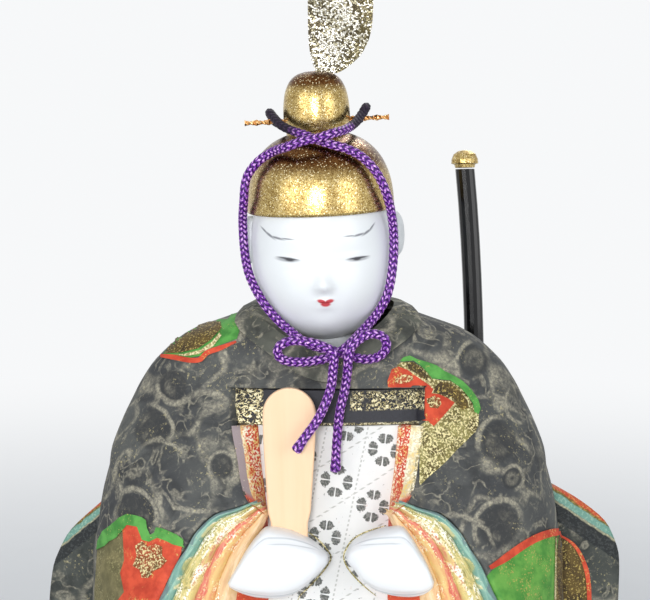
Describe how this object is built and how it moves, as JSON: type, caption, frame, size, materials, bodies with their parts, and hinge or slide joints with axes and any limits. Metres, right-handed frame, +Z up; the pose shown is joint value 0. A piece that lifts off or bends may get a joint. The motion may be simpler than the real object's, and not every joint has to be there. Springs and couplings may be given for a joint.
{
  "type": "seated hina doll",
  "caption": "Seated emperor doll in layered court dress, with gilt crown, plume, chin cord, tablet and scabbard. The head lifts off and turns; the tablet, plume and scabbard slide out.",
  "frame": {"origin": "centre of the bounding box, at the base on which the doll stands", "axes": "+Z up, -Y the way the doll faces, +X to the doll's left"},
  "size_m": [0.1218, 0.0854, 0.2023],
  "materials": {
    "clay": "pressed wood clay, unpainted",
    "wood": "plain sanded wood",
    "robe": "matte charcoal paint with cream and gold scrolls over pressed wood clay",
    "navy_brocade": "dark navy paint with gold brocade pattern",
    "white_brocade": "white paint with dark flowers",
    "striped_edge": "painted red, cream and gold stripes",
    "red_cloth": "matte red paint",
    "green_layer": "matte sea green paint",
    "gold_layer": "gold glitter paint",
    "rose_layer": "rose paint with gold",
    "tan_layer": "matte tan paint",
    "skin": "satin white shell paint",
    "gilt": "grained gold",
    "braid": "round silk braid",
    "gold_weave": "stiffened metallic gold gauze",
    "tablet_wood": "pale satin wood",
    "lacquer": "glossy black lacquer"
  },
  "bodies": {
    "doll": {"body_core": "clay", "base_board": "wood", "right_sleeve": "robe", "left_sleeve": "robe", "chest_yoke": "robe", "back_robe": "robe", "right_wing": "robe", "left_wing": "robe", "collar": "robe", "chest_band": "navy_brocade", "front_panel": "white_brocade", "right_side_strip": "striped_edge", "left_side_strip": "striped_edge", "right_under_robe": "red_cloth", "left_under_robe": "red_cloth", "right_cuff_edge": "green_layer", "left_cuff_edge": "green_layer", "right_cuff_gold": "gold_layer", "left_cuff_gold": "gold_layer", "right_cuff_rose": "rose_layer", "left_cuff_rose": "rose_layer", "right_cuff_tan": "tan_layer", "left_cuff_tan": "tan_layer", "right_hand": "skin", "left_hand": "skin", "right_hand_peg": "wood", "left_hand_peg": "wood"},
    "neck": {"neck_peg": "wood"},
    "head": {"head": "skin", "crown_cap": "gilt", "crown_knob": "gilt", "hairpin": "gilt", "chin_cord": "braid"},
    "plume": {"plume": "gold_weave"},
    "tablet": {"shaku": "tablet_wood"},
    "sword": {"scabbard": "lacquer", "scabbard_cap": "gilt"}
  },
  "joints": [
    {"name": "head_lift", "type": "slide", "parent": "doll", "child": "neck", "axis": [-0.0436, 0, 0.999], "range_m": [0, 0.025]},
    {"name": "head_turn", "type": "hinge", "parent": "neck", "child": "head", "pos_m": [0, -0.00545, 0.0955], "axis": [-0.0436, 0, 0.999], "range_deg": [-6, 6]},
    {"name": "plume_pull", "type": "slide", "parent": "head", "child": "plume", "axis": [-0.0436, 0, 0.999], "range_m": [0, 0.008]},
    {"name": "tablet_pull", "type": "slide", "parent": "doll", "child": "tablet", "axis": [0, 0, 1], "range_m": [0, 0.012]},
    {"name": "sword_pull", "type": "slide", "parent": "doll", "child": "sword", "axis": [-0.0208, 0.1219, 0.9923], "range_m": [0, 0.016]}
  ]
}
